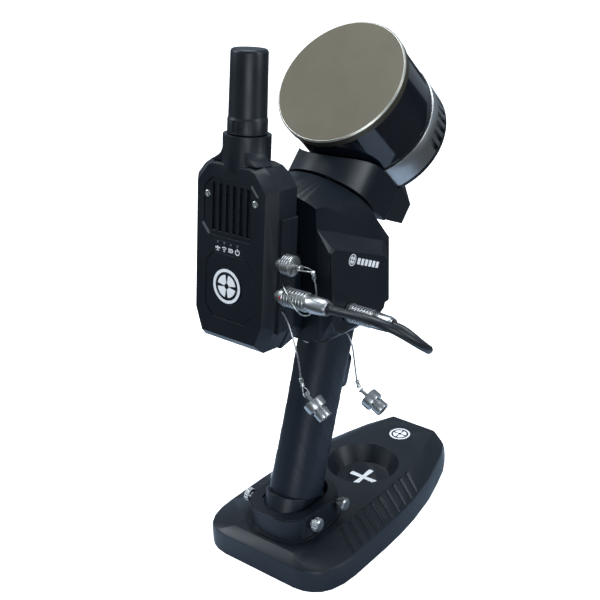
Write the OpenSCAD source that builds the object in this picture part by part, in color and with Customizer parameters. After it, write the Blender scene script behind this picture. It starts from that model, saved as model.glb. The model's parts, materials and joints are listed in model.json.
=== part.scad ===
// Hand-held mobile scanner with a positioning module, standing in its ground base plate.
// +Z is up, +Y is the way the scanner faces, +X is the side with the connectors.
// The origin lies on the underside of the base plate.

/* [Base plate] */
// Half of the plate's greatest width
plate_half_w = 65; // [63:1:66]
// Height of the flat middle of the plate
plate_top = 25; // [24:0.5:26]
// Y of the plate's rear edge
plate_rear = -82; // [-84:1:-80]
// Y of the plate's front edge
plate_front = 139; // [138:1:141]
// Y of the centre of the marker recess
recess_y = 59; // [57:1:61]
// Radius of the recess at its rim
recess_r = 31; // [30:0.5:32]
// Radius of the recess floor
recess_floor_r = 23; // [21:0.5:24]
// Height of the recess floor
recess_floor = 10; // [9:0.5:11]
// Length of each arm of the marker cross, from its centre
cross_arm = 13; // [12:0.5:14]
// Width of the arms of the marker cross at their ends
cross_w = 5; // [4:0.5:6]
// Grooves along each side of the plate
groove_count = 10; // [6:1:10]

/* [Socket] */
// Half of the collar's width
collar_half_w = 29; // [28:0.5:30]
// Height of the top of the collar
collar_top = 45; // [44:0.5:46]
// Thread diameter of the clamp screws
clamp_d = 4; // [3:0.5:5]
// Diameter of the clamp screws' heads
clamp_head_d = 11; // [9:0.5:12]

/* [Handle] */
// Forward lean of the handle in degrees
handle_lean = 20; // [20:1:20]
// Width of the handle
handle_w = 38; // [36:1:38]
// Depth of the handle
handle_d = 46; // [44:1:46]
// Length of the handle along its axis
handle_len = 166; // [166:1:166]

/* [Head] */
// Forward tilt of the turning axis in degrees
head_tilt = 45; // [45:1:45]
// Radius of the turntable
table_r = 35; // [33:0.5:36]
// Radius of the laser scanner's housing
lidar_r = 51.5; // [51:0.5:52]
// Radius of the laser scanner's cap
cap_r = 51; // [49:0.5:51]
// Height of the laser scanner from its base to its cap
lidar_h = 76; // [76:1:76]

/* [Positioning module] */
// Forward lean of the module in degrees
module_lean = 7; // [7:1:7]
// Half of the module's width
case_half_w = 36; // [34:0.5:36]
// Height of the module's case
case_h = 134; // [132:1:135]
// Diameter of the antenna at its top
antenna_d = 25; // [24:0.5:26]
// Height of the antenna above the case's top
antenna_h = 67; // [64:1:70]

/* [Connectors] */
// Diameter of the plugs' ridged sleeves
plug_d = 13.5; // [13:0.5:14]
// Diameter of the jumper cable
cable_d = 6; // [5:0.5:6]
// Diameter of the lanyard wire
wire_d = 1.2; // [1:0.1:1.4]

/* [Hidden] */
$fn = 64;
hull_fn = 32;

charcoal = [0.20, 0.22, 0.25];
graphite = [0.13, 0.14, 0.16];
rubber = [0.09, 0.09, 0.10];
silver = [0.80, 0.80, 0.80];
warm_grey = [0.60, 0.59, 0.54];
glass = [0.05, 0.05, 0.08];
white = [0.92, 0.92, 0.92];
board_green = [0.10, 0.35, 0.20];
copper = [0.75, 0.45, 0.25];

run = 0.05;      // radial clearance of a running fit
gap = 0.3;       // clearance between bodies that pass each other
wall = 3;        // thickness of the cases' walls

// Frames of the leaning assemblies
collar_y = -35;
handle_z = 27;
handle_y = -40;
table_y = 20;
table_z = 281;
case_y = -69;
case_z = 336;

module at_handle() { translate([0, handle_y, handle_z]) rotate([-handle_lean, 0, 0]) children(); }
module at_head() { translate([0, table_y, table_z]) rotate([-head_tilt, 0, 0]) children(); }
module at_case() { translate([0, case_y, case_z]) rotate([-module_lean, 0, 0]) children(); }

// A slot shape of width w across X and length d along Y, with round ends
module slot2d(w, d) {
    half = (d - w) / 2;
    for (s = [-1, 1]) translate([0, s * half]) circle(d = w);
    square([w, 2 * half], center = true);
}

// A box with rounded upright edges
module round_box2d(w, d, r) {
    for (sx = [-1, 1], sy = [-1, 1])
        translate([sx * (w / 2 - r), sy * (d / 2 - r)]) circle(r = r);
    square([w - 2 * r, d], center = true);
    square([w, d - 2 * r], center = true);
}

// Extrudes a YZ outline along X from x0 to x1
module along_x(x0, x1) {
    translate([x0, 0, 0]) rotate([90, 0, 90]) linear_extrude(x1 - x0) children();
}

// Extrudes an XZ outline along Y from y0 to y1
module along_y(y0, y1) {
    translate([0, y1, 0]) rotate([90, 0, 0]) linear_extrude(y1 - y0) children();
}

// ---------------------------------------------------------------- base plate

// The plate at stations along Y: half width, height of its upright side, inset of its rounded shoulder
stations = [[-82, 35, 17, 1.5], [-80.5, 44, 16, 1.7], [-77.5, 50.5, 15, 2], [-73, 56, 13.5, 2.6],
    [-66, 60.5, 12, 3.4], [-55, 63.8, 10.2, 4], [-42, 65, 8.6, 4.5], [0, 65, 6, 4.5], [22, 64.2, 5, 4.5],
    [45, 62, 4.4, 4.5], [75, 57, 4.4, 4.5], [100, 50, 5, 4.4], [120, 43.5, 6, 4.2], [134, 36.5, 7, 4],
    [139, 31, 8, 3.8]];
last_station = len(stations) - 1;

// Half width of the flat middle at the same stations
spine = [[-74, 30], [-60, 37], [0, 38], [40, 38], [80, 36.5], [100, 32.5], [120, 27.5], [138.5, 22]];

cover_t = 2;
cover_inset = 3;
module plate_outline(inset) {
    polygon(concat(
        [for (i = [0:last_station]) [stations[i][1] - inset,
            min(max(stations[i][0], plate_rear + inset), plate_front - inset)]],
        [for (i = [last_station:-1:0]) [inset - stations[i][1],
            min(max(stations[i][0], plate_rear + inset), plate_front - inset)]]));
}

module spine_outline() {
    polygon(concat([for (p = spine) [p[1], p[0]]],
        [for (i = [len(spine) - 1:-1:0]) [-spine[i][1], spine[i][0]]]));
}

shoulder_z = 19.3;
shoulder_turns = [0, 30, 60, 90];
module plate_body() {
    hull() {
        for (p = stations, a = shoulder_turns)
            let (w = p[1] - p[3] * (1 - cos(a)), z = p[2] + (shoulder_z - p[2]) * sin(a))
                translate([-w, min(p[0], plate_front - 0.5), 0]) cube([2 * w, 0.5, z]);
        translate([0, 0, plate_top - 0.5]) linear_extrude(0.5) spine_outline();
    }
}

groove_first_y = -26;
groove_pitch = 10.6;
groove_r = 2.2;
groove_up = 1.3;
groove_back = 12;
shoulder_x = [for (p = stations) [p[0], p[1] - p[3]]];
// The grooves run down the sloping sides and a little back
module side_grooves() {
    for (s = [-1, 1], i = [0:groove_count - 1]) let (
        y = groove_first_y + i * groove_pitch,
        top = [s * lookup(y, spine), y, plate_top + groove_up],
        low = [s * lookup(y - groove_back, shoulder_x), y - groove_back, shoulder_z + groove_up],
        v = low - top)
        translate(top) rotate([0, acos(v[2] / norm(v)), atan2(v[1], v[0])])
            translate([0, 0, 2]) cylinder(h = norm(v), r = groove_r, $fn = 12);
}

module base_plate() {
    color(charcoal) difference() {
        plate_body();
        side_grooves();
        translate([0, recess_y, recess_floor])
            cylinder(h = plate_top - recess_floor + 0.01, r1 = recess_floor_r, r2 = recess_r);
        translate([0, recess_y, recess_floor - cross_t]) marker_cross_shape(10);
        translate([0, 0, -1]) linear_extrude(cover_t + 1) plate_outline(cover_inset);
        translate([0, -38, cover_t - 0.5]) linear_extrude(seat_z - 4 - cover_t + 0.5) round_box2d(100, 64, 10);
        translate([0, recess_y, cover_t - 0.5]) cylinder(h = recess_floor - 3 - cover_t, r = 38);
        translate([0, 114, cover_t - 0.5]) linear_extrude(15) round_box2d(30, 30, 6);
        translate([0, 0, seat_z]) linear_extrude(20) collar_outline(0);
        bolt_places() translate([0, 0, -1]) cylinder(h = 10, d = bolt_d);
        emblem_at() cylinder(h = 4, d = emblem_d);
    }
}

module base_bottom_cover() {
    color(graphite) difference() {
        linear_extrude(cover_t) plate_outline(cover_inset);
        pad_places() translate([0, 0, -1]) cylinder(h = 1 + pad_t, d = pad_d);
    }
}

pad_d = 20;
pad_t = 1;
module pad_places() {
    for (s = [-1, 1]) {
        translate([s * 46, -60, 0]) children();
        translate([s * 22, 122, 0]) children();
    }
}

module base_grip_pads() {
    color(rubber) pad_places() cylinder(h = pad_t, d = pad_d);
}

// White cross that is let into the floor of the recess
cross_t = 0.8;
module marker_cross_shape(h) {
    linear_extrude(h) for (a = [0:90:270]) rotate(a)
        polygon([[0, -1.8], [cross_arm - 1, -cross_w / 2], [cross_arm, 1 - cross_w / 2],
            [cross_arm, cross_w / 2 - 1], [cross_arm - 1, cross_w / 2], [0, 1.8]]);
}
module marker_cross() {
    color(white) translate([0, recess_y, recess_floor - cross_t]) marker_cross_shape(cross_t);
}

emblem_d = 19;
module emblem_at() { translate([0, 116, plate_top - 0.8]) children(); }
module base_emblem() {
    color(white) emblem_at() difference() {
        cylinder(h = 0.8, d = emblem_d);
        translate([0, 0, 0.4]) difference() {
            cylinder(h = 1, d = emblem_d - 4);
            translate([0, 0, -1]) cylinder(h = 3, d = emblem_d - 7);
        }
    }
}

// ---------------------------------------------------------------- socket

collar_len = 68;
seat_z = 16;
bolt_d = 4;
bolt_x = 22.5;
clamp_z = 38.5;
clamp_rear_y = -49;
clamp_front_y = -15.5;
rear_tip = 18;
front_tip = 16.6;
socket_slack = 0.1;
mouth_slack = 1.4;
mouth_z = 12;

module collar_outline(grow) {
    translate([0, collar_y]) round_box2d(2 * (collar_half_w + grow), collar_len + 2 * grow, 22 + grow);
}

// The bore fits the foot, and its mouth leaves room for the grip
module socket_bore() {
    at_handle() {
        linear_extrude(50) slot2d(foot_w + 2 * socket_slack, foot_d + 2 * socket_slack);
        translate([0, 0, mouth_z]) linear_extrude(50)
            slot2d(handle_w + 2 * mouth_slack, foot_d + 2 * mouth_slack);
    }
}

// Bolts come up from under the plate's top wall into the collar
module bolt_places() {
    for (sx = [-1, 1], y = [-50, -20]) translate([sx * bolt_x, y, seat_z - 4]) children();
}

module clamp_at(s, y) {
    translate([0, y, clamp_z]) rotate([0, s * 90, 0]) children();
}

module socket_collar() {
    color(graphite) difference() {
        union() {
            translate([0, 0, seat_z]) linear_extrude(collar_top - 1 - seat_z) collar_outline(0);
            translate([0, 0, collar_top - 1]) linear_extrude(1) collar_outline(-1);
            translate([0, 0, plate_top]) linear_extrude(2) collar_outline(2);
        }
        socket_bore();
        for (s = [-1, 1], y = [clamp_rear_y, clamp_front_y])
            clamp_at(s, y) cylinder(h = 50, d = clamp_d + 2 * run);
        bolt_places() cylinder(h = 15, d = bolt_d);
    }
}

module collar_bolts() {
    color(silver) bolt_places() {
        cylinder(h = 15, d = bolt_d);
        translate([0, 0, -3]) cylinder(h = 3, d = 7);
    }
}

// A thumb screw along +Z whose neck starts at the collar's side
module clamp_screw(s, y, tip) {
    color(silver) clamp_at(s, y) {
        translate([0, 0, tip]) cylinder(h = collar_half_w - tip + gap + 1, d = clamp_d);
        translate([0, 0, collar_half_w + gap]) cylinder(h = 3, d = clamp_d + 2.5);
        translate([0, 0, collar_half_w + gap + 3]) difference() {
            union() {
                cylinder(h = 4, d = clamp_head_d);
                translate([0, 0, 4]) cylinder(h = 1, d1 = clamp_head_d, d2 = clamp_head_d - 2.5);
            }
            for (k = [0:17]) rotate(20 * k) translate([clamp_head_d / 2 + 0.2, 0, -1])
                cylinder(h = 7, r = 0.6, $fn = 12);
        }
    }
}

module clamp_screw_rear_right() { clamp_screw(1, clamp_rear_y, rear_tip); }
module clamp_screw_front_right() { clamp_screw(1, clamp_front_y, front_tip); }
module clamp_screw_front_left() { clamp_screw(-1, clamp_front_y, front_tip); }
module clamp_screw_rear_left() { clamp_screw(-1, clamp_rear_y, rear_tip); }

// ---------------------------------------------------------------- handle

foot_len = 22;
foot_w = handle_w - 2;
foot_d = 54;
frame_w = handle_w - 6;
frame_d = handle_d - 6;
trigger_z = 121;
trigger_w = 18;
trigger_len = 30;
trigger_out = 7;
power_z = 150;

module trigger_pocket(slack) {
    translate([0, handle_d / 2 - 8, trigger_z]) rotate([-90, 0, 0])
        linear_extrude(20) round_box2d(trigger_w + 2 * slack, trigger_len + 2 * slack, 6);
}

module power_pocket(slack) {
    translate([0, -handle_d / 2 + 8, power_z]) rotate([90, 0, 0])
        cylinder(h = 20, d = 11 + 2 * slack);
}

module handle_frame() {
    color(graphite) at_handle() difference() {
        translate([0, 0, foot_len]) linear_extrude(handle_len - foot_len) slot2d(frame_w, frame_d);
        translate([0, 0, foot_len - 1]) linear_extrude(handle_len - foot_len - 40)
            slot2d(frame_w - 4, frame_d - 4);
        translate([0, 0, handle_len - 36]) linear_extrude(40) slot2d(frame_w - 8, frame_d - 8);
        trigger_pocket(gap);
        power_pocket(gap);
    }
}

module handle_grip() {
    color(rubber) at_handle() difference() {
        translate([0, 0, foot_len]) linear_extrude(handle_len - foot_len) slot2d(handle_w, handle_d);
        translate([0, 0, foot_len - 1]) linear_extrude(handle_len) slot2d(frame_w, frame_d);
        trigger_pocket(run);
        power_pocket(run);
    }
}

module handle_foot() {
    color(graphite) at_handle() difference() {
        linear_extrude(foot_len) slot2d(foot_w, foot_d);
        translate([0, 0, foot_len - 3]) linear_extrude(4) slot2d(frame_w - 4, frame_d - 4);
    }
}

module battery_pack() {
    color([0.25, 0.28, 0.45]) at_handle() translate([0, 0, foot_len - 3])
        linear_extrude(78) slot2d(frame_w - 5, frame_d - 5);
}

module trigger_button() {
    color(graphite) at_handle() translate([0, handle_d / 2 - 4, trigger_z]) rotate([-90, 0, 0])
        linear_extrude(4 + trigger_out) round_box2d(trigger_w, trigger_len, 6);
}

module power_button() {
    color(silver) at_handle() translate([0, -handle_d / 2 + 3, power_z]) rotate([90, 0, 0])
        cylinder(h = 5, d = 11);
}

// ---------------------------------------------------------------- scanner body

core_half_w = 42;
pod_half_w = 51.5;
panel_half_w = 53;
body_rear = -50;
body_front = 42;
body_bottom = 199;
seat_r = 36;
seat_drop = 2.5;

// YZ outline of the side panel
panel_side = [[-49, 217], [-46, 208], [-38, 203.5], [-30, 203], [8, 201], [14, 204], [17, 212],
    [19, 223], [19.5, 237], [18, 242], [13, 246], [-45, 270], [-49, 268]];
// YZ outline of the pod where it meets the core
pod_root = [[-50, 199], [30, 199], [33, 243], [31, 249], [-50, 284]];

front_top = 249;
module core_block() {
    hull() {
        translate([0, (body_rear + body_front) / 2, body_bottom]) linear_extrude(front_top - body_bottom)
            round_box2d(2 * core_half_w, body_front - body_rear, 8, $fn = hull_fn);
        at_head() translate([0, 0, -seat_drop - 1.5]) cylinder(h = 1, r = seat_r);
    }
    intersection() {
        translate([0, (body_rear + body_front) / 2, body_bottom]) linear_extrude(120)
            round_box2d(2 * core_half_w, body_front - body_rear, 16);
        at_head() translate([0, 0, -seat_drop - 120]) cylinder(h = 120, r1 = seat_r + 134, r2 = seat_r);
    }
    intersection() {
        translate([-core_half_w, body_rear, body_bottom])
            cube([2 * core_half_w, 40, 120]);
        at_head() translate([0, 0, -seat_drop - 120]) cylinder(h = 120, r1 = seat_r + 134, r2 = seat_r);
    }
}

module pod(s) {
    hull() {
        scale([s, 1, 1]) along_x(core_half_w - 0.5, core_half_w) polygon(pod_root);
        scale([s, 1, 1]) along_x(pod_half_w - 0.5, pod_half_w) polygon(panel_side);
    }
}

module body_cavity() {
    translate([0, -8, body_bottom - 1]) linear_extrude(48) round_box2d(2 * core_half_w - 2 * wall, 78, 8);
    at_head() translate([0, 0, -46]) cylinder(h = 40, d = motor_d + 2);
}

bearing_od = 32;
spindle_d = 16;
motor_d = 48;
bearing_h = 9;

module main_housing() {
    color(charcoal) difference() {
        union() {
            core_block();
            pod(1);
            pod(-1);
        }
        body_cavity();
        at_head() translate([0, 0, -seat_drop - bearing_h]) cylinder(h = bearing_h + 2, d = bearing_od);
        port_hole();
        camera_at() translate([0, 0, -6]) cylinder(h = 20, d = camera_d);
    }
}

module bottom_cover() {
    color(charcoal) difference() {
        hull() {
            translate([0, -8, body_bottom - 3]) linear_extrude(3) round_box2d(2 * core_half_w, 84, 10);
            at_handle() translate([0, 0, handle_len - 6]) linear_extrude(2)
                slot2d(handle_w + 4, handle_d + 4, $fn = hull_fn);
        }
        at_handle() translate([0, 0, handle_len - 30]) linear_extrude(30) slot2d(handle_w, handle_d);
    }
}

module side_panel() {
    along_x(pod_half_w, panel_half_w) polygon(panel_side);
}

module right_side_panel() {
    color(graphite) difference() {
        side_panel();
        port_hole();
    }
}

module left_side_panel() { color(graphite) mirror([1, 0, 0]) side_panel(); }

camera_d = 24;
camera_z = 229;
module camera_at() { translate([0, body_front, camera_z]) rotate([-90, 0, 0]) children(); }
module front_camera() {
    color(graphite) camera_at() translate([0, 0, -6]) difference() {
        cylinder(h = 8, d = camera_d);
        translate([0, 0, 4]) cylinder(h = 5, d = camera_d - 6);
    }
}
module front_camera_glass() {
    color(glass) camera_at() translate([0, 0, -2]) cylinder(h = 2.5, d = camera_d - 6);
}

module main_board() {
    color(board_green) translate([0, -8, body_bottom + 12]) linear_extrude(1.6)
        round_box2d(2 * core_half_w - 2 * wall - 4, 74, 4);
    color(graphite) translate([-12, -20, body_bottom + 13.6]) cube([24, 24, 3]);
    color(silver) translate([16, -36, body_bottom + 13.6]) cube([14, 10, 5]);
}

module head_motor() {
    color(silver) at_head() translate([0, 0, -38]) difference() {
        cylinder(h = 24, d = motor_d);
        translate([0, 0, 6]) cylinder(h = 20, d = spindle_d + 1);
    }
}

module head_bearing() {
    color(silver) at_head() translate([0, 0, -seat_drop - bearing_h]) difference() {
        cylinder(h = bearing_h, d = bearing_od);
        translate([0, 0, -1]) cylinder(h = bearing_h + 2, d = spindle_d + 2 * run);
    }
}

// ---------------------------------------------------------------- turning head

cradle_r = lidar_r + 0.5;
lidar_axis_h = 68;
lidar_back = -47;
lidar_front = lidar_back + lidar_h;
block_front = 60;
plate_t = 2.5;

module lidar_axis() { translate([0, 0, lidar_axis_h]) rotate([-90, 0, 0]) children(); }

module turntable() {
    color(charcoal) at_head() difference() {
        union() {
            cylinder(h = 31, r = table_r);
            translate([-table_r, 0, 0]) cube([2 * table_r, lidar_front + 0.5, 31]);
        }
        translate([-50, lidar_front + 0.5, -1]) cube([100, 20, 40]);
        lidar_axis() translate([0, 0, -80]) cylinder(h = 160, r = lidar_r + 2.5);
        translate([0, 0, -1]) cylinder(h = 9, d = spindle_d);
    }
}

module head_spindle() {
    color(silver) at_head() translate([0, 0, -30]) cylinder(h = 38, d = spindle_d);
}

module lidar_bracket() {
    color(charcoal) at_head() difference() {
        union() {
            hull() {
                translate([-30, lidar_front + 0.5, 12.5])
                    cube([60, block_front - lidar_front - 0.5, 17]);
                translate([-20, lidar_front + 0.5, 44]) cube([40, block_front - lidar_front - 8, 1]);
                translate([-table_r, lidar_front + 0.5, 2]) cube([2 * table_r, 2, 28]);
            }
            lidar_axis() translate([0, 0, lidar_front + 0.5]) cylinder(h = plate_t, r = lidar_r);
        }
        translate([0, 0, lidar_axis_h]) rotate([-90, 0, 0]) for (a = [60, 90, 120]) rotate(a)
            translate([38, 0, 0]) cylinder(h = lidar_front + 14, d = 4);
        translate([0, 0, lidar_axis_h]) rotate([-90, 0, 0]) for (a = [60, 90, 120]) rotate(a)
            translate([38, 0, lidar_front + 10]) cylinder(h = 40, d = 7.4);
    }
}

module bracket_screws() {
    color(silver) at_head() translate([0, 0, lidar_axis_h]) rotate([-90, 0, 0])
        for (a = [60, 90, 120]) rotate(a) translate([38, 0, lidar_front - 6]) {
            cylinder(h = 16, d = 4);
            translate([0, 0, 16]) difference() {
                cylinder(h = 4, d = 7);
                translate([0, 0, 2]) cylinder(h = 3, d = 3.5, $fn = 6);
            }
        }
}

base_h = 25;
cap_h = 7;
window_h = lidar_h - base_h - cap_h;
fin_count = 23;
fin_pitch = 8.5;
fin_gap = 4.4;
fin_len = 14;
fin_deep = 3.3;

module lidar_base() {
    color(silver) at_head() lidar_axis() translate([0, 0, lidar_front - base_h]) difference() {
        cylinder(h = base_h, r = lidar_r);
        for (k = [0:fin_count - 1]) rotate(270 + (k - (fin_count - 1) / 2) * fin_pitch)
            translate([lidar_r - fin_deep, -fin_gap / 2, base_h - fin_len])
                cube([2 * fin_deep, fin_gap, 2 * fin_len]);
        translate([0, 0, -1]) cylinder(h = 13, r = lidar_r - 4);
        rotate(0) for (a = [60, 90, 120]) rotate(a)
            translate([38, 0, base_h - 6]) cylinder(h = 7, d = 4);
        translate([0, 0, 10]) cylinder(h = 6, d = 12);
    }
}

module lidar_window() {
    color(glass) at_head() lidar_axis() translate([0, 0, lidar_back + cap_h]) difference() {
        cylinder(h = window_h, r1 = cap_r - 1, r2 = lidar_r - 0.5);
        translate([0, 0, -0.01]) cylinder(h = window_h + 0.02, r1 = cap_r - 4, r2 = lidar_r - 3.5);
    }
}

module lidar_cap() {
    color(warm_grey) at_head() lidar_axis() translate([0, 0, lidar_back]) {
        cylinder(h = 1, r1 = cap_r - 1, r2 = cap_r);
        translate([0, 0, 1]) cylinder(h = cap_h - 1, r = cap_r);
    }
}

module lidar_hub() {
    color(silver) at_head() lidar_axis() {
        translate([0, 0, lidar_back + cap_h]) cylinder(h = lidar_h - cap_h - base_h + 16, d = 12);
    }
}

module lidar_rotor() {
    color(graphite) at_head() lidar_axis() translate([0, 0, lidar_back + cap_h + 4]) difference() {
        cylinder(h = window_h - 2, r = 40);
        translate([0, 0, -1]) cylinder(h = window_h, d = 12 + 2 * run);
        for (s = [-1, 1]) translate([24, s * 12, (window_h - 2) / 2]) rotate([0, 90, 0])
            cylinder(h = 30, d = 18);
    }
}

// ---------------------------------------------------------------- positioning module

case_back = -15;
case_split = 0;
case_front = 10;
bevel = 6;
sink_z = -37.4;
sink_half_w = 24.2;
sink_half_h = 19.8;
sink_cut = 7;
lights_x = -1.7;
lights_z = -63.5;
service_z = -92;

function case_side(inset) = [[-27 + inset / 2, -case_h + inset], [27 - inset / 2, -case_h + inset],
    [case_half_w - inset, -case_h + 19 + inset / 2], [case_half_w - inset, -19 - inset / 2],
    [29.5 - inset, -11 - inset / 2], [23 - inset / 2, -6.5 - inset / 2], [16, -5 - inset / 2],
    [-16, -5 - inset / 2], [-23 + inset / 2, -6.5 - inset / 2], [-29.5 + inset, -11 - inset / 2],
    [-case_half_w + inset, -19 - inset / 2], [-case_half_w + inset, -case_h + 19 + inset / 2]];

function octagon(half_w, half_h, cut) = [[-half_w, -half_h + cut], [-half_w + cut, -half_h],
    [half_w - cut, -half_h], [half_w, -half_h + cut], [half_w, half_h - cut],
    [half_w - cut, half_h], [-half_w + cut, half_h], [-half_w, half_h - cut]];

module module_case() {
    color(charcoal) at_case() difference() {
        union() {
            hull() {
                along_y(case_back, case_back + 0.5) polygon(case_side(bevel));
                along_y(case_back + bevel + 1, case_split) polygon(case_side(0));
            }
            along_y(case_split - 7, case_split) port_pad2d();
            // The antenna's boss widens into the shoulders and runs down the rear face
            translate([0, 0, -11]) cylinder(h = 12, r = 16.25);
            intersection() {
                union() {
                    translate([0, 0, -6]) cylinder(h = 3, r1 = 23, r2 = 19);
                    translate([0, 0, -3]) cylinder(h = 2, r1 = 19, r2 = 17.4);
                    translate([0, 0, -1]) cylinder(h = 3, r1 = 17.4, r2 = 16.3);
                }
                translate([-30, case_back + 2, -8]) cube([60, case_split - case_back - 2, 16]);
            }
        }
        along_y(case_back + wall + 6, case_split + 1) polygon(case_side(wall));
        translate([0, 0, sink_z]) along_y(case_back - 1, case_back + 5)
            polygon(octagon(sink_half_w, sink_half_h, sink_cut));
        translate([0, 0, service_z]) along_y(case_back - 1, case_back + 1)
            polygon(octagon(21.4, 23.4, sink_cut));
        translate([lights_x, 0, lights_z]) along_y(case_back - 1, case_back + 1)
            square([26, 7], center = true);
        translate([0, 0, -20]) cylinder(h = 40, d = 10);
        port_places() translate([0, 0, -12]) cylinder(h = 20, d = port_d);
    }
    color(charcoal) at_case() difference() {
        translate([0, 0, 1]) cylinder(h = 11, d = 32.5);
        cylinder(h = 20, d = 10);
    }
}

pad_out = 38.5;
module port_pad2d() {
    translate([(case_half_w - 1 + pad_out) / 2, -78]) round_box2d(pad_out - case_half_w + 1, 80, 1);
}

module module_back_cover() {
    color(graphite) at_case() difference() {
        union() {
            along_y(case_split, case_front) polygon(case_side(0));
            along_y(case_split, case_front - 1) port_pad2d();
        }
        along_y(case_split - 1, case_front - wall) polygon(case_side(wall));
        translate([0, 0, -20]) cylinder(h = 40, d = 33);
        port_places() translate([0, 0, -12]) cylinder(h = 20, d = port_d);
    }
}

module module_bracket() {
    color(graphite) difference() {
        hull() {
            at_case() along_y(case_front, case_front + 2) polygon([[-27, -case_h - 2], [27, -case_h - 2],
                [case_half_w, -case_h + 17], [case_half_w, -70], [-case_half_w, -70],
                [-case_half_w, -case_h + 17]]);
            translate([-28, body_rear - 1, 205]) cube([56, 1, 58]);
        }
        translate([-22, body_rear - 14, 215]) cube([44, 30, 40]);
    }
}

module heat_sink() {
    color(graphite) at_case() translate([0, 0, sink_z]) difference() {
        along_y(case_back + 0.6, case_back + 5) polygon(octagon(sink_half_w, sink_half_h, sink_cut));
        for (k = [0:5]) translate([(k - 2.5) * 6.1, case_back, 0]) cube([3.4, 7, 33], center = true);
        sink_screws() translate([0, 0, -1]) cylinder(h = 8, d = 2.5);
    }
}

module sink_screws() {
    for (s = [-1, 1]) translate([s * 21, case_back + 1, 7.6]) rotate([-90, 0, 0]) children();
}

module heat_sink_screws() {
    color(silver) at_case() translate([0, 0, sink_z]) sink_screws() {
        translate([0, 0, -1.4]) cylinder(h = 1, d = 4.4);
        translate([0, 0, -0.4]) cylinder(h = 4, d = 2.5);
    }
}

module status_lights() {
    color(white) at_case() {
        translate([lights_x, 0, lights_z]) along_y(case_back + 0.4, case_back + 1)
            square([26, 7], center = true);
        for (k = [0:3]) translate([lights_x + (k - 1.5) * 5.9, case_back + 0.4, -61.5]) rotate([90, 0, 0])
            cylinder(h = 0.3, d = 1.4);
    }
}

module service_cover() {
    color(charcoal) at_case() translate([0, 0, service_z]) difference() {
        along_y(case_back + 0.3, case_back + 1) polygon(octagon(21, 23, sink_cut));
        translate([0, case_back + 1, 0]) rotate([90, 0, 0]) cylinder(h = 3, d = badge_d);
    }
}

badge_d = 24;
module module_badge() {
    color(white) at_case() translate([0, case_back + 1, service_z]) rotate([90, 0, 0]) {
        cylinder(h = 0.9, d = badge_d);
        translate([0, 0, 0.9]) difference() {
            cylinder(h = 0.3, d = badge_d - 4);
            translate([0, 0, -1]) cylinder(h = 2, d = badge_d - 8);
        }
    }
}

module module_board() {
    color(board_green) at_case() translate([0, 0, 0]) along_y(case_split + 1, case_split + 2.6)
        translate([0, -70]) square([54, 90], center = true);
    color(silver) at_case() translate([-12, case_split - 2, -60]) cube([24, 3, 24]);
}

antenna_z = 12;
module antenna_connector() {
    color(silver) at_case() {
        translate([0, 0, -14]) cylinder(h = antenna_z + 14 + 8, d = 9);
        translate([0, 0, -18]) cylinder(h = 4, d = 11.5);
    }
}

module antenna_housing() {
    color(charcoal) at_case() translate([0, 0, antenna_z + gap]) difference() {
        union() {
            cylinder(h = 10, d = antenna_d + 2);
            translate([0, 0, 10]) cylinder(h = 2, d1 = antenna_d + 2, d2 = antenna_d + 1);
            translate([0, 0, 12]) cylinder(h = antenna_h - antenna_z - 14, d1 = antenna_d + 1, d2 = antenna_d);
            translate([0, 0, antenna_h - antenna_z - 2]) cylinder(h = 2, d1 = antenna_d, d2 = antenna_d - 3);
        }
        translate([0, 0, -1]) cylinder(h = 9, d = 9 + 2 * run);
        translate([0, 0, 14]) cylinder(h = antenna_h - antenna_z - 17, d = antenna_d - 4);
    }
}

helix_turns = 3;
helix_steps = 24;
helix_r = 8;
helix_h = 30;
function helix_point(i) = [helix_r * cos(i * 360 / helix_steps),
    helix_r * sin(i * 360 / helix_steps), i * helix_h / (helix_turns * helix_steps)];
module antenna_helix() {
    color(copper) at_case() translate([0, 0, antenna_z + gap + 17]) {
        sweep([for (i = [0:2:helix_turns * helix_steps]) helix_point(i)], 0.8, 8);
        translate([0, 0, -3]) cylinder(h = 2, d = antenna_d - 5);
    }
}

// ---------------------------------------------------------------- connectors

port_d = 12;
port_reach = 6;
upper_port_z = -68.5;
lower_port_z = -90.5;
port_y = -3;
module port_places() {
    for (z = [upper_port_z, lower_port_z]) translate([pad_out, port_y, z]) rotate([0, 90, 0]) children();
}

// A round receptacle along +Z with its mouth at z = port_reach
module receptacle() {
    difference() {
        union() {
            translate([0, 0, -10]) cylinder(h = 10 + port_reach, d = 11);
            translate([0, 0, -10]) cylinder(h = 10, d = port_d);
        }
        translate([0, 0, -6]) cylinder(h = 20, d = 8 + 2 * run);
    }
    for (a = [0:72:288]) rotate(a) translate([2.2, 0, -6]) cylinder(h = 4, d = 0.9, $fn = 16);
}

module module_port_at(z) { at_case() translate([pad_out, port_y, z]) rotate([0, 90, 0]) children(); }
module module_port_upper() { color(silver) module_port_at(upper_port_z) receptacle(); }
module module_port_lower() { color(silver) module_port_at(lower_port_z) receptacle(); }

body_port_y = -30;
body_port_z = 217.5;
module body_port_at() { translate([panel_half_w, body_port_y, body_port_z]) rotate([0, 90, 0]) children(); }
module port_hole() { body_port_at() translate([0, 0, -10]) cylinder(h = 12, d = port_d); }
module body_port() { color(silver) body_port_at() receptacle(); }

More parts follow.
